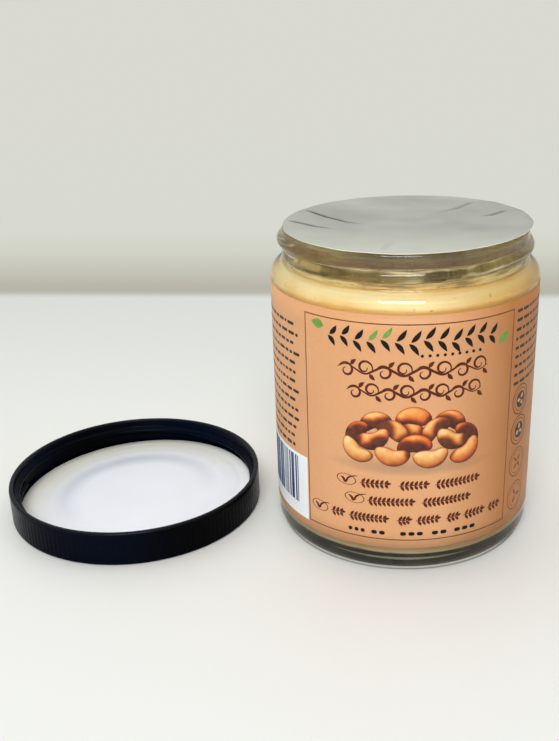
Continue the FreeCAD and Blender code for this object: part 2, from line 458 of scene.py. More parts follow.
def buildLabel():
    outer, low, high = label["radius"], label["low"], label["high"]
    inner = jar["radius"] - label["intoGlass"]
    gap = label["seam"] / outer
    rows = [(outer, low)] + upTo((outer, low), (outer, high), 5.0) + [(outer, high), (inner, high)]
    rows += upTo((inner, high), (inner, low), 5.0) + [(inner, low)]
    bm = bmesh.new()
    verts = [bm.verts.new((0, r, z)) for r, z in rows]
    bm.faces.new(verts)
    bmesh.ops.rotate(bm, verts=bm.verts, cent=(0, 0, 0), matrix=Matrix.Rotation(gap / 2, 3, "Z"))
    start = bm.faces[:]
    bmesh.ops.spin(bm, geom=start, axis=(0, 0, 1), cent=(0, 0, 0), dvec=(0, 0, 0),
                   angle=fullTurn - gap, steps=label["steps"], use_merge=False, use_duplicate=False)
    if not any(face in bm.faces for face in start):
        bmesh.ops.holes_fill(bm, edges=bm.edges)
    bmesh.ops.remove_doubles(bm, verts=bm.verts, dist=0.0005)
    bmesh.ops.holes_fill(bm, edges=[edge for edge in bm.edges if edge.is_boundary])
    bmesh.ops.recalc_face_normals(bm, faces=bm.faces)
    flat = bm.loops.layers.uv.new("flat")
    for face in bm.faces:
        for loop in face.loops:
            along = math.atan2(loop.vert.co.x, -loop.vert.co.y) * label["radius"]
            loop[flat].uv = (along / 100, loop.vert.co.z / 100)
    return bm


def labelFinish():
    paper = Finish("labelPaper", Roughness=0.45, Specular_IOR_Level=0.25)
    along, up = paper.split(paper.node("ShaderNodeUVMap", uv_map="flat").outputs["UV"])[:2]
    body = paper.blotches(paper.noise(22, 3.0), label["paper"], label["paperLight"])
    # a soft printed shadow under the nuts
    across = paper.rise(along, label["shadow"][0], 1 / label["shadowReach"][0], clamp=False)
    below = paper.rise(up, label["shadow"][1], 1 / label["shadowReach"][1], clamp=False)
    away = paper.math("ADD", paper.math("POWER", across, 2.0), paper.math("POWER", below, 2.0))
    soft = paper.math("MULTIPLY", paper.math("SUBTRACT", 1.0, away, clamp=True), 0.9, clamp=True)
    shaded = paper.mix(soft, body, tone(*label["shade"]))
    # painted shade: the paper darker to the right of the front panel, fading back round the side
    paintedShadeShare = paper.rise(along, label["paintedShadeFrom"], 1 / label["paintedShadeOver"])
    back = paper.rise(along, label["backFrom"], 1 / label["backOver"])
    paintedShadeShare = paper.math("SUBTRACT", paintedShadeShare, back, clamp=True)
    shaded = paper.mix(paintedShadeShare, shaded, paper.times(shaded, label["paintedShade"]))
    fibre = paper.noise(0.5, 5.0)
    flecks = paper.ramp(fibre, [(0.35, [0.955, 0.955, 0.955, 1]), (0.6, [1, 1, 1, 1])])
    paper.colour(paper.times(shaded, flecks))
    paper.roughness(paper.noise(6), 0.4, 0.54)
    paper.bump(fibre, 0.008, 0.7)
    paper.bump(paper.noise(18, 2.0), 0.08, 0.6)
    return paper.material


place(buildLabel(), "labelPaper", labelFinish(), ["wrap_label"])


def wrap(bm, lift=0.0):  # bends flat artwork round the label: x runs along it, y is height
    reach = [vert.co.x for vert in bm.verts]
    spot = math.floor(min(reach) / ink["cut"]) * ink["cut"]
    while spot < max(reach):
        everything = bm.verts[:] + bm.edges[:] + bm.faces[:]
        bmesh.ops.bisect_plane(bm, geom=everything, dist=0.0001, plane_co=(spot, 0, 0), plane_no=(1, 0, 0))
        spot += ink["cut"]
    for vert in bm.verts:
        angle = vert.co.x / label["radius"]
        out = label["radius"] + lift + vert.co.z
        vert.co = (out * math.sin(angle), -out * math.cos(angle), vert.co.y)


def thicken(bm, thick):
    doubled(bm, thick)
    bmesh.ops.translate(bm, verts=bm.verts, vec=(0, 0, -thick / 2))
    bmesh.ops.recalc_face_normals(bm, faces=bm.faces)


def at(x, y, turn=0.0, width=1.0, height=1.0):
    return (Matrix.Translation((x, y, 0)) @ Matrix.Rotation(math.radians(turn), 4, "Z")
            @ Matrix.Diagonal((width, height, 1, 1)))


def addBar(bm, left, right, low, high):
    bmesh.ops.create_grid(bm, x_segments=1, y_segments=1, size=0.5,
                          matrix=at((left + right) / 2, (low + high) / 2, 0, right - left, high - low))


def addPill(bm, left, right, y, height):
    ends = bmesh.ops.create_circle(bm, cap_ends=True, segments=12, radius=height / 2,
                                   matrix=at((left + right) / 2, y, 15))["verts"]
    push = max(0.0, (right - left - height) / 2)
    for vert in ends:
        vert.co.x += push if vert.co.x > (left + right) / 2 else -push


def addLeaf(bm, x, y, turn, length, width, bend=0.0):  # grows from its foot at x, y
    verts = bmesh.ops.create_circle(bm, cap_ends=True, segments=16, radius=1)["verts"]
    for vert in verts:
        t = vert.co.x
        side = math.copysign(1 - t * t, vert.co.y) if abs(vert.co.y) > 1e-4 else 0.0
        vert.co = ((t + 1) / 2 * length, side * width / 2 * (1.12 - 0.3 * t) + bend * (1 - t * t), 0)
    bmesh.ops.transform(bm, matrix=at(x, y, turn), verts=verts)


def addRing(bm, x, y, radius, rule, squash=1.0, turn=0.0):
    edges = []
    for size in (radius, radius - rule):
        verts = bmesh.ops.create_circle(bm, cap_ends=False, segments=32, radius=size)["verts"]
        edges += list({edge for vert in verts for edge in vert.link_edges})
        bmesh.ops.transform(bm, matrix=at(x, y, turn, 1, squash), verts=verts)
    bmesh.ops.bridge_loops(bm, edges=edges)


def printPiece(bm, name, material, lift=0.0):
    thicken(bm, ink["thick"])
    wrap(bm, lift)
    return place(bm, name, material, smooth=False)


def strokes(lines, name, material, flat=0.09, lift=0.004):  # tapered pen strokes, x, y, half width
    curve = bpy.data.curves.new(name, "CURVE")
    curve.dimensions = "3D"
    curve.bevel_depth = 1.0
    curve.bevel_resolution = 1
    curve.resolution_u = 4
    curve.use_fill_caps = True
    for line in lines:
        spline = curve.splines.new("BEZIER")
        spline.bezier_points.add(len(line) - 1)
        for point, (x, y, half) in zip(spline.bezier_points, line):
            point.co = (x, y, 0)
            point.radius = half
            point.handle_left_type = point.handle_right_type = "AUTO"
    holder = bpy.data.objects.new(name + "Line", curve)
    mesh = bpy.data.meshes.new_from_object(holder)
    bm = bmesh.new()
    bm.from_mesh(mesh)
    bpy.data.objects.remove(holder)
    bpy.data.curves.remove(curve)
    bpy.data.meshes.remove(mesh)
    bmesh.ops.scale(bm, verts=bm.verts, vec=(1, 1, flat))
    bmesh.ops.recalc_face_normals(bm, faces=bm.faces)
    wrap(bm, lift)
    return place(bm, name, material)


def spiral(x, y, size, start, sweep, half, points=11):  # winds in to its end
    line = []
    for i in range(points):
        t = i / (points - 1)
        width = half * (0.45 + 0.75 * math.sin(math.pi * min(1, t * 1.15)))
        line.append((*onCircle(x, y, size * (1 - 0.72 * t), start + sweep * t), width))
    return line


brownInk = inkFinish("brownInk", (84, 30, 14), (104, 44, 24))
ruleInk = inkFinish("ruleInk", (104, 60, 38), (124, 76, 50))
blackInk = inkFinish("blackInk", (12, 9, 9), (26, 20, 19))
greenInk = inkFinish("greenInk", (96, 142, 62), (132, 172, 84))
navyInk = inkFinish("navyInk", (34, 48, 92), (58, 74, 120))
whiteInk = inkFinish("whiteInk", (242, 248, 253), (250, 253, 255), 5)
sandInk = inkFinish("sandInk", (196, 150, 112), (214, 168, 128))
greyInk = inkFinish("greyInk", (44, 30, 20), (66, 48, 34))

# thin frame round the front panel
bm = bmesh.new()
half = panel["rule"] / 2
for height in (panel["low"], panel["high"]):
    addBar(bm, panel["left"] - half, panel["right"] + half, height - half, height + half)
for along in (panel["left"], panel["right"]):
    addBar(bm, along - half, along + half, panel["low"] + half, panel["high"] - half)
printPiece(bm, "panelRules", ruleInk)

# leaf garland
garland = {"left": -19.5, "right": 24.0, "height": 65.5, "step": 3.5, "leaf": 4.0, "width": 1.15}


def garlandStem(x):
    return garland["height"] + 0.5 * math.sin((x - garland["left"]) * 0.55)


bm = bmesh.new()
greenLeaves = bmesh.new()
count = int((garland["right"] - garland["left"]) / garland["step"])
for i in range(count + 1):
    x = garland["left"] + i * garland["step"]
    for side in (1, -1):
        target = greenLeaves if i in (3, 4) and side == 1 else bm
        length = garland["leaf"] * (0.82 + 0.18 * math.sin(math.pi * i / count))
        addLeaf(target, x + 0.25 * side, garlandStem(x) + 0.15 * side, side * 52, length, garland["width"],
                -0.25 * side)
addLeaf(greenLeaves, garland["left"] - 1.6, garland["height"] + 2.0, 172, 4.0, 2.3)
addLeaf(greenLeaves, garland["right"] + 1.6, garland["height"] - 3.2, 34, 4.4, 2.0)
for i in range(9):
    bmesh.ops.create_circle(bm, cap_ends=True, segments=10, radius=0.42, matrix=at(4.5 + 1.9 * i, 61.7))
printPiece(bm, "leafGarland", blackInk)
printPiece(greenLeaves, "greenLeaves", greenInk)

# two rows of scrolling vine
vineRows = [{"left": -17.0, "right": 22.0, "height": 57.6, "period": 9.75, "wave": 1.05, "curl": 2.15},
            {"left": -14.6, "right": 20.4, "height": 51.8, "period": 8.75, "wave": 0.95, "curl": 2.0}]
lines = []
bm = bmesh.new()
for row in vineRows:
    span = row["right"] - row["left"]
    count = round(span / row["period"] * 4)
    stem = []
    for i in range(count + 1):
        x = row["left"] + span * i / count
        y = row["height"] + row["wave"] * math.sin(fullTurn * (x - row["left"]) / row["period"])
        stem.append((x, y, 0.12 + 0.24 * math.sin(math.pi * i / count)))
    lines.append(stem)
    for i in range(round(span / row["period"] * 2)):
        side = 1 if i % 2 == 0 else -1
        x = row["left"] + row["period"] * (0.5 * i + 0.25)
        y = row["height"] - side * 0.55
        lines.append(spiral(x, y, row["curl"], 90 * side + 60, -side * 400, 0.27))
        addLeaf(bm, x + 1.2, row["height"] + side * row["wave"] * 0.9, side * 48, 2.2, 0.95, 0.15 * side)
strokes(lines, "scrollVines", brownInk)
printPiece(bm, "vineLeaves", brownInk)

# nuts, modelled round and pressed flat, with their shading kept as a colour attribute
# each is: middle x, y, bend radius, half thickness, way it bulges in degrees, sweep, warmth, level
nuts = [
    (-7.4, 44.2, 3.4, 2.3, 108, 150, 0.65, 0), (2.6, 45.8, 3.7, 2.5, 88, 140, 1.00, 0),
    (12.4, 44.4, 3.4, 2.3, 70, 150, 0.85, 0), (-12.6, 40.0, 3.3, 2.2, 150, 150, 0.95, 1),
    (2.8, 41.2, 3.3, 2.5, 60, 150, 0.75, 0), (-2.2, 42.0, 3.3, 2.4, 62, 150, 0.35, 1),
    (7.8, 42.2, 3.3, 2.3, 128, 150, 0.60, 1),
    (17.4, 39.6, 3.4, 2.3, 34, 150, 0.95, 1), (-7.2, 38.4, 3.3, 2.4, 290, 160, 0.80, 2),
    (2.8, 38.2, 3.4, 2.5, 96, 150, 1.00, 2), (12.6, 38.2, 3.2, 2.4, 248, 160, 0.35, 2),
    (-12.2, 34.6, 3.3, 2.3, 236, 160, 0.20, 3), (-2.6, 34.0, 3.5, 2.4, 262, 150, 0.60, 3),
    (7.4, 33.6, 3.5, 2.5, 276, 150, 0.30, 4), (17.0, 34.4, 3.3, 2.3, 306, 160, 0.85, 3),
]
nutPile = {"flat": 0.014, "layer": 0.045, "light": Vector((-0.35, 0.62, 0.7)).normalized()}


def nutSpine(nut, steps=16):
    x, y, bend, thick, middle, sweep = nut[:6]
    x, y = onCircle(x, y, -bend, middle)
    return [onCircle(x, y, bend, middle + sweep * (i / steps - 0.5)) for i in range(steps + 1)]


def buildNuts():
    bm = bmesh.new()
    shadeLayer = bm.loops.layers.float_color.new("shade")
    spines = [nutSpine(nut) for nut in nuts]
    for index, nut in enumerate(nuts):
        x, y, bend, thick, middle, sweep, warmth, level = nut
        x, y = onCircle(x, y, -bend, middle)
        verts = bmesh.ops.create_uvsphere(bm, u_segments=26, v_segments=30, radius=1)["verts"]
        for vert in verts:
            t = max(-1.0, min(1.0, vert.co.z))
            ring = math.sqrt(max(0.0, 1 - t * t))
            plump = (ring ** 0.62 / ring if ring > 1e-4 else 0.0) * (1 - 0.12 * t)
            out = bend + vert.co.x * plump * thick
            vert.co = (*onCircle(x, y, out, middle + sweep / 2 * t), vert.co.y * plump * thick)
        faces = list({face for vert in verts for face in vert.link_faces})
        for face in faces:
            face.normal_update()
        for vert in verts:
            vert.normal_update()
        if max(verts, key=lambda vert: vert.co.z).normal.z < 0:  # turned inside out by the bend
            bmesh.ops.reverse_faces(bm, faces=faces)
            for vert in verts:
                vert.normal_update()
        shades = {}
        for vert in verts:
            lit = 0.5 + 0.5 * vert.normal.dot(nutPile["light"])
            rim = smoothStep(vert.normal.z * 1.4)
            under = 1.0
            for other, spine in enumerate(spines):
                if nuts[other][7] > level or (nuts[other][7] == level and other > index):
                    near = min(math.dist(vert.co.xy, point) for point in spine) - nuts[other][3]
                    under = min(under, 0.12 + 0.88 * smoothStep((near + 0.3) / 1.9))
            mottle = 0.09 * noise.noise(Vector((vert.co.x * 0.9, vert.co.y * 0.9, index * 5)))
            shades[vert] = (max(0.0, min(1.0, (lit ** 1.5) * (0.35 + 0.65 * rim) * under + mottle)), warmth)
        for vert in verts:
            vert.co.z = vert.co.z * nutPile["flat"] + 0.02 + nutPile["layer"] * level
        for face in faces:
            for loop in face.loops:
                value, warm = shades[loop.vert]
                loop[shadeLayer] = (value, warm, 0, 1)
    wrap(bm)
    return bm


def nutFinish():
    nut = Finish("printedNuts", Roughness=0.42)
    shade = nut.node("ShaderNodeVertexColor", layer_name="shade")
    apart = nut.node("ShaderNodeSeparateColor")
    nut.link(shade.outputs["Color"], apart.inputs["Color"])
    value = nut.math("ADD", apart.outputs["Red"], nut.rise(nut.noise(1.6), 0.5, 0.16, clamp=False))
    pale = nut.ramp(value, [(0.0, tone(62, 20, 4)), (0.25, tone(150, 74, 20)), (0.5, tone(214, 134, 56)),
                            (0.75, tone(242, 188, 108)), (1.0, tone(255, 226, 168))])
    warm = nut.ramp(value, [(0.0, tone(50, 12, 2)), (0.25, tone(130, 42, 8)), (0.5, tone(200, 84, 18)),
                            (0.75, tone(232, 130, 48)), (1.0, tone(252, 184, 104))])
    nut.colour(nut.mix(apart.outputs["Green"], pale, warm))
    nut.roughness(nut.noise(1.5), 0.36, 0.5)
    nut.bump(nut.noise(0.4, 2.0), 0.01, 0.5)
    return nut.material


place(buildNuts(), "printedNuts", nutFinish())
print("nuts done")

# three ticked rows: an oval with a tick, then sprigs
tickRows = [
    {"oval": -14.9, "height": 26.2, "sprigs": [(-10.6, -3.2), (-0.4, 6.8), (9.0, 21.0)]},
    {"oval": -12.6, "height": 21.2, "sprigs": [(-8.6, 3.2), (5.6, 18.4)]},
    {"oval": -23.4, "height": 15.9, "sprigs": [(-19.2, -15.6), (-13.8, -3.6), (-0.8, 2.4), (4.2, 10.0),
                                              (12.2, 15.6), (17.2, 23.2), (25.0, 28.8)]},
]
bm = bmesh.new()
lines = []
for row in tickRows:
    x, y = row["oval"], row["height"]
    addRing(bm, x, y, 2.8, 0.26, 0.56, -4)
    lines.append([(x - 1.5, y + 0.6, 0.2), (x - 0.75, y - 0.05, 0.38), (x - 0.35, y - 0.7, 0.36),
                  (x + 0.5, y + 0.45, 0.26), (x + 1.8, y + 1.2, 0.18), (x + 3.2, y + 1.5, 0.08)])
    for left, right in row["sprigs"]:
        lines.append([(left - 0.5, y - 0.25, 0.1), ((left + right) / 2, y, 0.16),
                      (right - 0.8, y + 0.15, 0.09)])
        pairs = max(3, round((right - left) / 1.15))
        for i in range(pairs):
            foot = left + (right - left - 1.2) * i / (pairs - 1)
            rise = y - 0.2 + 0.3 * i / pairs
            size = 1.75 - 0.45 * i / pairs
            for side in (1, -1):
                addLeaf(bm, foot, rise + 0.08 * side, side * 56, size, 0.72, -0.08 * side)
        addLeaf(bm, right - 1.0, y + 0.15, 8, 1.5, 0.7)
printPiece(bm, "ovalsAndSprigs", brownInk)
strokes(lines, "ticksAndStems", brownInk)

# a row of small black bars at the foot of the panel
bm = bmesh.new()
for left, right in ((-14.4, -9.6), (-8.0, -4.2), (-0.4, 5.8), (8.0, 12.2), (14.2, 20.6)):
    bits = max(1, round((right - left) / 1.9))
    for i in range(bits):
        step = (right - left + 0.4) / bits
        addPill(bm, left + i * step, left + (i + 1) * step - 0.55, 11.8, 1.15)
printPiece(bm, "footBars", blackInk)


def greekRows(bm, left, right, heights, size, seed, centred=False):  # rows of word-length bars
    random.seed(seed)
    for height in heights:
        width = (right - left) * random.uniform(0.78, 1.0)
        x = left + ((right - left - width) / 2 if centred else 0)
        end = x + width
        while x < end - 0.8:
            word = min(random.uniform(0.9, 3.2), end - x)
            addPill(bm, x, x + word, height + random.uniform(-0.06, 0.06), size)
            x += word + 0.55


bm = bmesh.new()
greekRows(bm, -58.0, -29.2, [65.2 - 2.68 * i for i in range(13)], 0.86, 11, True)
greekRows(bm, -60.0, -29.6, [30.4], 1.0, 12)
greekRows(bm, 32.6, 62.0, [68.8 - 2.5 * i for i in range(9)], 0.86, 13)
printPiece(bm, "marginRows", greyInk)

# white panel with upright bars
bm = bmesh.new()
addBar(bm, -63.0, -27.9, 9.4, 28.4)
printPiece(bm, "whitePanel", whiteInk)
random.seed(21)
bm = bmesh.new()
x = -58.5
while x < -31.8:
    width = random.choice((0.35, 0.7, 1.05, 1.4))
    addBar(bm, x, x + width, 13.2, 27.4)
    x += width + random.choice((0.3, 0.4, 0.5, 0.75))
printPiece(bm, "uprightBars", navyInk, 0.02)

# round marks on the right margin
bm = bmesh.new()
paleMarks = bmesh.new()
markLeaves = bmesh.new()
for index, height in enumerate((43.4, 34.5, 24.9, 14.7)):
    target = bm if index < 2 else paleMarks
    addRing(target, 37.0, height, 4.3, 0.26)
    addRing(target, 37.0, height, 3.3, 0.16 if index < 2 else 0.12)
    if index < 2:
        bmesh.ops.create_circle(target, cap_ends=True, segments=24, radius=2.3, matrix=at(37.0, height))
        target = markLeaves
    for turn in ((60, 180, 300), (90, 210, 330), (45, 135, 225, 315), (0, 120, 240))[index]:
        addLeaf(target, *onCircle(37.0, height, 0.3, turn), turn, 1.7 if index < 2 else 2.3,
                1.0 if index < 2 else 0.7)
printPiece(bm, "roundMarks", greyInk)
printPiece(paleMarks, "paleMarks", ruleInk)
printPiece(markLeaves, "markLeaves", sandInk, 0.02)

# ruled table on the back
bm = bmesh.new()
table = {"left": 66.0, "right": 104.0, "low": 12.0, "high": 68.0, "rows": 10, "step": 2.7}
left, right = table["left"], table["right"]
for height, rule in ((table["low"], 0.3), (table["high"], 0.3), (60.5, 1.1), (49.0, 0.7), (19.5, 0.9)):
    addBar(bm, left, right, height - rule / 2, height + rule / 2)
for along in (left, right):
    addBar(bm, along - 0.15, along + 0.15, table["low"], table["high"])
for i in range(table["rows"]):
    height = 46.2 - table["step"] * i
    addBar(bm, left + 1, right - 1, height - 1.4, height - 1.3)
    addPill(bm, left + 1.4 + (i % 3) * 0.9, left + 13 + (i * 5) % 9, height, 0.8)
    addPill(bm, right - 6, right - 1.6, height, 0.8)
greekRows(bm, left + 1.4, right - 1.4, (65.2, 63.0, 57.6, 54.8, 52.0), 0.8, 31)
greekRows(bm, left + 1.4, right - 1.4, (17.0, 14.6), 0.6, 32)
greekRows(bm, -104.0, -70.0, [66.0 - 2.7 * i for i in range(20)], 0.72, 33)
printPiece(bm, "backTable", greyInk)
print("label done")

# foil seal

foil = {
    "radius": 33.35, "aside": 0.5, "bottom": jar["height"] - 0.02, "thick": 0.14, "freeFrom": 31.8,
    "curl": 0.5, "droop": 0.12, "rings": 78, "steps": 400, "cutFrom": 30.0,
}
creases = [  # points along the crease, half width, depth
    ([(-28.6, 14.6), (-21.7, 5.2), (-15.9, -0.8), (-10.2, -3.6)], 0.5, 0.34),
    ([(-32.2, 1.6), (-24.4, -5.3), (-17.8, -8.7)], 0.42, 0.26),
    ([(27.8, 12.6), (23.3, 7.0), (19.0, 4.4)], 0.8, 0.14),
    ([(19.4, 24.0), (14.3, 15.6), (8.0, 9.0)], 0.9, 0.1),
    ([(-6.0, -30.0), (-3.0, -20.0)], 0.9, 0.03),
]


def nearLine(x, y, points):  # distance to a broken line, and how far along it
    best = (1e9, 0.0)
    for i, ((ax, ay), (bx, by)) in enumerate(zip(points, points[1:])):
        dx, dy = bx - ax, by - ay
        t = max(0.0, min(1.0, ((x - ax) * dx + (y - ay) * dy) / (dx * dx + dy * dy)))
        away = math.hypot(x - ax - t * dx, y - ay - t * dy)
        best = min(best, (away, (i + t) / (len(points) - 1)))
    return best


def creaseFade(along):
    return smoothStep(along * 6 + 0.2) * (1 - smoothStep((along - 0.45) / 0.55))


def creaseShadeAt(x, y):  # how deep in a crease, from 0 to 1: the share of painted shade there
    paintedShade = 0.0
    for points, width, depth in creases:
        away, along = nearLine(x, y, points)
        paintedShade = max(paintedShade, math.exp(-(away / width) ** 4) * creaseFade(along) * min(1.0, depth / 0.26))
    return paintedShade


def foilLift(x, y):
    radius = math.hypot(x, y)
    angle = math.atan2(y, x)
    lift = 0.12 * noise.noise(Vector((x * 0.06, y * 0.06, 2.0)))
    lift += 0.02 * noise.noise(Vector((x * 0.2, y * 0.2, 7.0)))
    lift *= 1 - smoothStep((radius - 28.5) / 3) * 0.75
    for points, width, depth in creases:
        away, along = nearLine(x, y, points)
        if away < width * 5:
            raised = 0.55 * math.exp(-((away - width * 1.6) / (width * 1.5)) ** 2)
            lift += depth * creaseFade(along) * (raised - math.exp(-(away / width) ** 2))
    free = max(0.0, (radius - foil["freeFrom"]) / (foil["radius"] - foil["freeFrom"]))
    lift += free ** 1.6 * (foil["curl"] * smoothStep((math.cos(angle) + 0.1) / 1.1)
                           - foil["droop"] * smoothStep(-math.cos(angle)))
    lift += free * 0.07 * wobble(angle, 5, 1)
    return lift


def buildFoil():
    rings = [foil["radius"] * (i / foil["rings"]) ** 0.9 for i in range(foil["rings"] + 1)]
    bm = revolve([(radius, 0) for radius in rings], foil["steps"])
    for vert in bm.verts:
        radius, angle = polarOf(vert.co)
        if radius > foil["cutFrom"]:
            corner = 0.16 * abs(math.sin(angle * 8 + 0.7)) + 0.08 * wobble(angle, 4, 5)
            share = (radius - foil["cutFrom"]) / (foil["radius"] - foil["cutFrom"])
            setRadius(vert, radius - corner * share)
        vert.co.z = foil["bottom"] + foil["thick"] + foilLift(vert.co.x, vert.co.y)
    # painted shade in the creases, kept as a colour attribute
    creaseShadeLayer = bm.loops.layers.float_color.new("creaseShade")
    creaseShades = {vert: creaseShadeAt(vert.co.x, vert.co.y) for vert in bm.verts}
    for face in bm.faces:
        face.normal_update()
        for loop in face.loops:
            paintedShade = creaseShades[loop.vert]
            loop[creaseShadeLayer] = (paintedShade, paintedShade, paintedShade, 1)
    if sum(face.normal.z for face in bm.faces) < 0:
        bmesh.ops.reverse_faces(bm, faces=bm.faces)
    doubled(bm, -foil["thick"])
    bmesh.ops.translate(bm, verts=bm.verts, vec=(foil["aside"], 0, 0))
    bmesh.ops.recalc_face_normals(bm, faces=bm.faces)
    for face in bm.faces:
        if face.normal.z < -0.3:
            face.material_index = 1  # the waxed side
        elif face.normal.z < 0.3:
            face.material_index = 2  # the cut edge, painted near white as a highlight
    return bm


def foilFinish():
    metal = Finish("sealFoil", Metallic=0.9, Roughness=0.5)
    body = metal.blotches(metal.noise(22, 2.0), (184, 186, 181), (212, 213, 206))
    # painted light: the foil lighter towards the front edge
    paintedLightFront = metal.rise(metal.split(metal.where)[1], -0.008, -45.0)
    body = metal.mix(paintedLightFront, body, tone(226, 228, 218))
    # painted shade: the creases darkened towards near black
    creaseShade = metal.node("ShaderNodeVertexColor", layer_name="creaseShade")
    metal.colour(metal.mix(metal.math("MULTIPLY", creaseShade.outputs["Color"], 0.95), body, tone(30, 32, 32)))
    metal.roughness(metal.noise(7, 3.0), 0.4, 0.52)
    metal.bump(metal.noise(1.0, 2.0, stretch=(0.08, 1, 1)), 0.01, 0.5)
    metal.bump(metal.noise(4.5, 3.0), 0.34, 0.6)
    metal.bump(metal.noise(11.0, 1.0), 0.5, 0.6)
    return metal.material


def backingFinish(name, dark, light):
    wax = Finish(name, Roughness=0.5)
    wax.colour(wax.blotches(wax.noise(9, 3.0), dark, light))
    wax.roughness(wax.noise(4), 0.4, 0.6)
    wax.bump(wax.noise(1.5), 0.03, 0.6)
    return wax.material


seal = place(buildFoil(), "foilSeal", foilFinish(), ["foil_seal"])
seal.data.materials.append(backingFinish("sealBacking", (190, 160, 88), (216, 188, 116)))
# painted highlight: the cut edge near white, a bright line round the rim
seal.data.materials.append(backingFinish("sealEdgeHighlight", (222, 216, 190), (250, 246, 226)))
print("foil done")

# screw cap, lying on its top

capLow, capHigh = boxOf("screw_cap")
cap = {
    "centre": ((capLow.x + capHigh.x) / 2, (capLow.y + capHigh.y) / 2),
    "radius": (capHigh.x - capLow.x) / 2, "height": capHigh.z, "wall": 1.35, "top": 0.9,
    "edgeRound": 0.8, "rimRound": 0.45, "rimBand": 1.6,
    "ribs": 150, "ribDepth": 0.055, "samples": 6,
}
capThread = {
    "startAngle": 180.0, "startHeight": 3.9, "pitch": 3.175, "turns": 1.1, "width": 2.4, "depth": 1.6,
    "fade": 0.06,
}


def buildCap():
    radius, height = cap["radius"], cap["height"]
    inner = radius - cap["wall"]
    low = [(0, 0), (radius * 0.5, 0), (radius - cap["edgeRound"] - 0.01, 0)]
    low += arc((radius - cap["edgeRound"], cap["edgeRound"]), cap["edgeRound"], -90, 0, 6)
    band = height - cap["rimBand"]
    side = [(radius, 1.1), (radius, 1.4)] + upTo((radius, 1.4), (radius, band - 0.25), 1.6)
    side += [(radius, band - 0.25), (radius, band)]
    rim = arc((radius - cap["rimRound"], height - cap["rimRound"]), cap["rimRound"], 0, 90, 5)
    rim += arc((inner + 0.3, height - 0.3), 0.3, 90, 180, 4)
    down = upTo((inner, height - 0.3), (inner, cap["top"] + 0.6), 0.26)
    foot = arc((inner - 0.5, cap["top"] + 0.5), 0.5, 0, -90, 4)
    floor = [(inner * 0.5, cap["top"]), (0, cap["top"])]
    bm = revolve(low + side + rim + down + foot + floor, cap["ribs"] * cap["samples"])
    for vert in bm.verts:
        reach, angle = polarOf(vert.co)
        z = vert.co.z
        if reach > radius - 0.05 and 0.75 < z < band - 0.1:
            wave = (0.5 - 0.5 * math.cos(angle * cap["ribs"])) ** 1.6
            fade = smoothStep((z - 0.75) / 0.5)
            setRadius(vert, reach - cap["ribDepth"] * wave * fade)
        elif abs(reach - inner) < 0.02 and 2.0 < z < height - 0.35:
            ridge = ridgeAt(angle, z, capThread)
            setRadius(vert, reach - capThread["depth"] * ridge)
    return bm


def capFinish(name, gloss):
    plastic = Finish(name, Roughness=0.22, Specular_IOR_Level=gloss)
    plastic.colour(plastic.ramp(plastic.noise(40, 1.0), [(0.35, [0.0006, 0.0008, 0.0014, 1]),
                                                         (0.65, [0.001, 0.003, 0.011, 1])]))
    plastic.roughness(plastic.noise(4, 3.0), 0.17, 0.3)
    plastic.bump(plastic.noise(1.2, 2.0), 0.01, 0.5)
    return plastic.material


skirt = place(buildCap(), "screwCap", capFinish("blackPlastic", 0.03), ["screw_cap"],
              cap["centre"])
skirt.data.materials.append(capFinish("blackRim", 0.14))
for face in skirt.data.polygons:
    if face.center.z > (cap["height"] - cap["rimRound"]) * mm:
        face.material_index = 1
print("cap done")

# liner, a loose disc that lies aslant in the cap

linerLow, linerHigh = boxOf("cap_liner")
liner = {
    "radius": 35.1, "thick": 0.6, "low": linerLow.z, "high": linerHigh.z, "edge": 0.12, "ring": 24.0,
    "step": 0.45, "soft": 3.0, "imprint": 31.6, "dent": 0.12,
    # whites, lighter at the rim as a painted highlight; shadowed tones, with a painted shadow as a grey-blue
    # arc and a darker rim
    "whiteAndRimHighlight": [(0.0, (232, 236, 246)), (0.85, (236, 239, 247)), (1.0, (246, 248, 252))],
    "paintedShadows": [(0.0, (232, 236, 246)), (0.50, (230, 234, 243)), (0.63, (198, 204, 216)),
             (0.74, (218, 221, 224)), (0.88, (222, 222, 213)), (1.0, (186, 186, 178))],
}


def buildLiner():
    radius, thick = liner["radius"], liner["thick"]
    under = [(0, 0)] + upTo((0, 0), (radius - liner["edge"], 0), 4.0)
    edge = arc((radius - liner["edge"], liner["edge"]), liner["edge"], -90, 0, 3)
    edge += arc((radius - liner["edge"], thick - liner["edge"]), liner["edge"], 0, 90, 3)
    over = upTo((radius - liner["edge"], thick), (0, thick), 0.55) + [(0, thick)]
    bm = revolve(under + edge + over, 220)
    slope = (liner["high"] - liner["low"] - thick) / (2 * radius)
    for vert in bm.verts:
        reach, angle = polarOf(vert.co)
        if vert.co.z > thick * 0.9:
            vert.co.z -= liner["dent"] * math.exp(-((reach - liner["imprint"]) / 0.8) ** 2)
            vert.co.z -= liner["step"] * (1 - smoothStep((reach - liner["ring"]) / liner["soft"])) * 0.5
        vert.co.z += liner["low"] + (vert.co.x + radius) * slope
    return bm


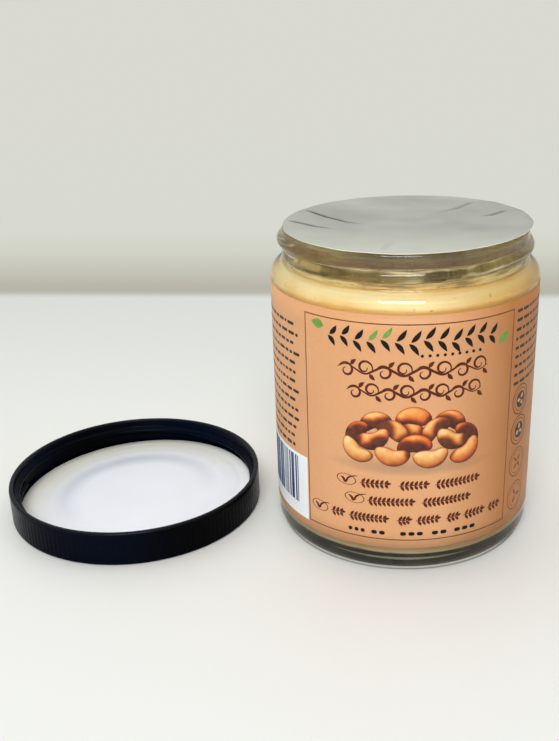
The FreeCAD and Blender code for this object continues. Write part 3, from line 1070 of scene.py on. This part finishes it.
def linerFinish():
    foam = Finish("linerFoam", Roughness=0.4)
    along, back = [foam.math("SUBTRACT", out, spot * mm)
                   for out, spot in zip(foam.split(foam.where), cap["centre"])]
    share = foam.math("DIVIDE", foam.length(along, back), liner["radius"] * mm, clamp=True)
    whiteAndRimHighlight = foam.ramp(share, [(spot, tone(*colour)) for spot, colour in liner["whiteAndRimHighlight"]])
    paintedShadows = foam.ramp(share, [(spot, tone(*colour)) for spot, colour in liner["paintedShadows"]])
    # painted shade: towards the back and left the liner takes the shadowed tones
    lean = foam.math("MULTIPLY_ADD", along, -15.0, foam.math("MULTIPLY_ADD", back, 24.0, 0.4))
    base = foam.mix(foam.math("MULTIPLY", lean, 1.0, clamp=True), whiteAndRimHighlight, paintedShadows)
    cloudy = foam.ramp(foam.noise(16, 3.0), [(0.3, [0.96, 0.96, 0.96, 1]), (0.7, [1, 1, 1, 1])])
    foam.colour(foam.times(base, cloudy))
    foam.roughness(foam.noise(5), 0.34, 0.5)
    foam.bump(foam.noise(0.35, 2.0), 0.012, 0.5)
    return foam.material


place(buildLiner(), "capLiner", linerFinish(), ["cap_liner"], cap["centre"])
print("liner done")

# floor, lights and camera

floor = {
    "half": 12.0, "line": 0.2045, "open": 0.0340, "contactShadowRadius": 0.0349,
    "near": [(-0.10, (233, 235, 234)), (0.00, (236, 237, 234)), (0.07, (236, 238, 236)),
             (0.20, (231, 235, 232))],
    # the backdrop, with a painted shadow band along its foot
    "far": [(0.2050, (206, 207, 201)), (0.2080, (196, 196, 188)), (0.2120, (182, 181, 169)),
            (0.2250, (186, 184, 171)), (0.2520, (197, 198, 185)), (0.2950, (211, 212, 200)),
            (0.3450, (216, 217, 207)), (1.0, (217, 217, 208))],
}
bm = bmesh.new()
bmesh.ops.create_grid(bm, x_segments=2, y_segments=2, size=floor["half"])
mesh = bpy.data.meshes.new("floor")
bm.to_mesh(mesh)
bm.free()
ground = bpy.data.objects.new("floor", mesh)
bpy.context.scene.collection.objects.link(ground)

board = Finish("floorBoard", Roughness=0.45)
x, y = board.split(board.where)[:2]


def toneAlong(stops):  # colours by distance, in metres
    start, end = stops[0][0], stops[-1][0]
    away = board.math("DIVIDE", board.math("SUBTRACT", y, start), end - start, clamp=True)
    return board.ramp(away, [((spot - start) / (end - start), tone(*colour)) for spot, colour in stops])


reach = board.length(x, y)
# painted shadow: dark under the jar, and a thin dark contact line round its foot
under = board.math("DIVIDE", board.math("SUBTRACT", floor["open"], reach), 0.003, clamp=True)
edge = board.math("DIVIDE", board.math("ABSOLUTE", board.math("SUBTRACT", reach, floor["contactShadowRadius"])), 0.0005)
edge = board.math("MULTIPLY", board.math("SUBTRACT", 1.0, edge, clamp=True), 0.8)
near = board.mix(edge, toneAlong(floor["near"]), tone(60, 58, 48))  # painted contact shadow, a thin dark line round the foot
board.colour(board.mix(under, near, tone(24, 24, 20)))  # painted shadow under the jar
board.roughness(board.noise(40), 0.4, 0.55)
board.bump(board.noise(1.5), 0.02, 0.3)
glow = board.node("ShaderNodeEmission")
board.link(toneAlong(floor["far"]), glow.inputs["Color"])
ray = board.node("ShaderNodeLightPath")
seen = board.math("ADD", ray.outputs["Is Camera Ray"], ray.outputs["Is Glossy Ray"])
seen = board.math("ADD", seen, ray.outputs["Is Transmission Ray"], clamp=True)
far = board.math("DIVIDE", board.math("SUBTRACT", y, floor["line"] - 0.004), 0.006, clamp=True)
board.giveWay(board.math("MULTIPLY", far, seen), glow.outputs["Emission"])
mesh.materials.append(board.material)

studio = {"wall": tone(212, 213, 207), "room": tone(104, 102, 97), "strength": 1.0, "turn": 0.4}
world = bpy.data.worlds.new("studio")
bpy.context.scene.world = world
world.use_nodes = True
backdrop = world.node_tree.nodes["Background"]
backdrop.inputs["Strength"].default_value = studio["strength"]
sky = Nodes(world.node_tree)
x, y = sky.split(sky.node("ShaderNodeTexCoord").outputs["Generated"])[:2]
lean = sky.math("MULTIPLY_ADD", x, -studio["turn"], y)  # paler behind and left, darker in front and right
plain = sky.math("ADD", sky.spread(lean, 0.0, 1.0, -0.4, 0.4),
                 sky.node("ShaderNodeLightPath").outputs["Is Camera Ray"], clamp=True)
sky.link(sky.mix(plain, studio["room"], studio["wall"]), backdrop.inputs["Color"])

lamps = [  # name, place, target, width, height, power
    ("keyLight", (-0.04, -0.80, 0.80), (-0.02, 0, 0.05), 0.62, 0.4, 7.6),
    ("stripLight", (0.0, -0.95, 0.66), (0, 0, 0.05), 2.0, 0.1, 2.0),
    ("topLight", (-0.03, 0.02, 0.9), (-0.03, 0, 0.05), 1.0, 0.7, 2.0),
]
for name, spot, target, width, height, power in lamps:
    lamp = bpy.data.lights.new(name, "AREA")
    lamp.shape = "RECTANGLE"
    lamp.size = width
    lamp.size_y = height
    lamp.energy = power
    holder = bpy.data.objects.new(name, lamp)
    bpy.context.scene.collection.objects.link(holder)
    holder.location = spot
    holder.rotation_euler = (Vector(target) - Vector(spot)).to_track_quat("-Z", "Y").to_euler()

view = {"place": (-0.00205, -0.25593, 0.14688), "yaw": -0.0956, "pitch": 0.3841, "roll": -0.0259,
        "lens": 46.85, "shift": -0.0405}
lens = bpy.data.cameras.new("camera")
lens.lens = view["lens"]
lens.shift_x = view["shift"]
lens.clip_start = 0.01
lens.clip_end = 60
camera = bpy.data.objects.new("camera", lens)
bpy.context.scene.collection.objects.link(camera)
camera.matrix_world = (Matrix.Translation(view["place"]) @ Matrix.Rotation(-view["yaw"], 4, "Z")
                       @ Matrix.Rotation(math.pi / 2 - view["pitch"], 4, "X")
                       @ Matrix.Rotation(view["roll"], 4, "Z"))
bpy.context.scene.camera = camera
bpy.context.scene.view_settings.view_transform = "Standard"

print("scene done")
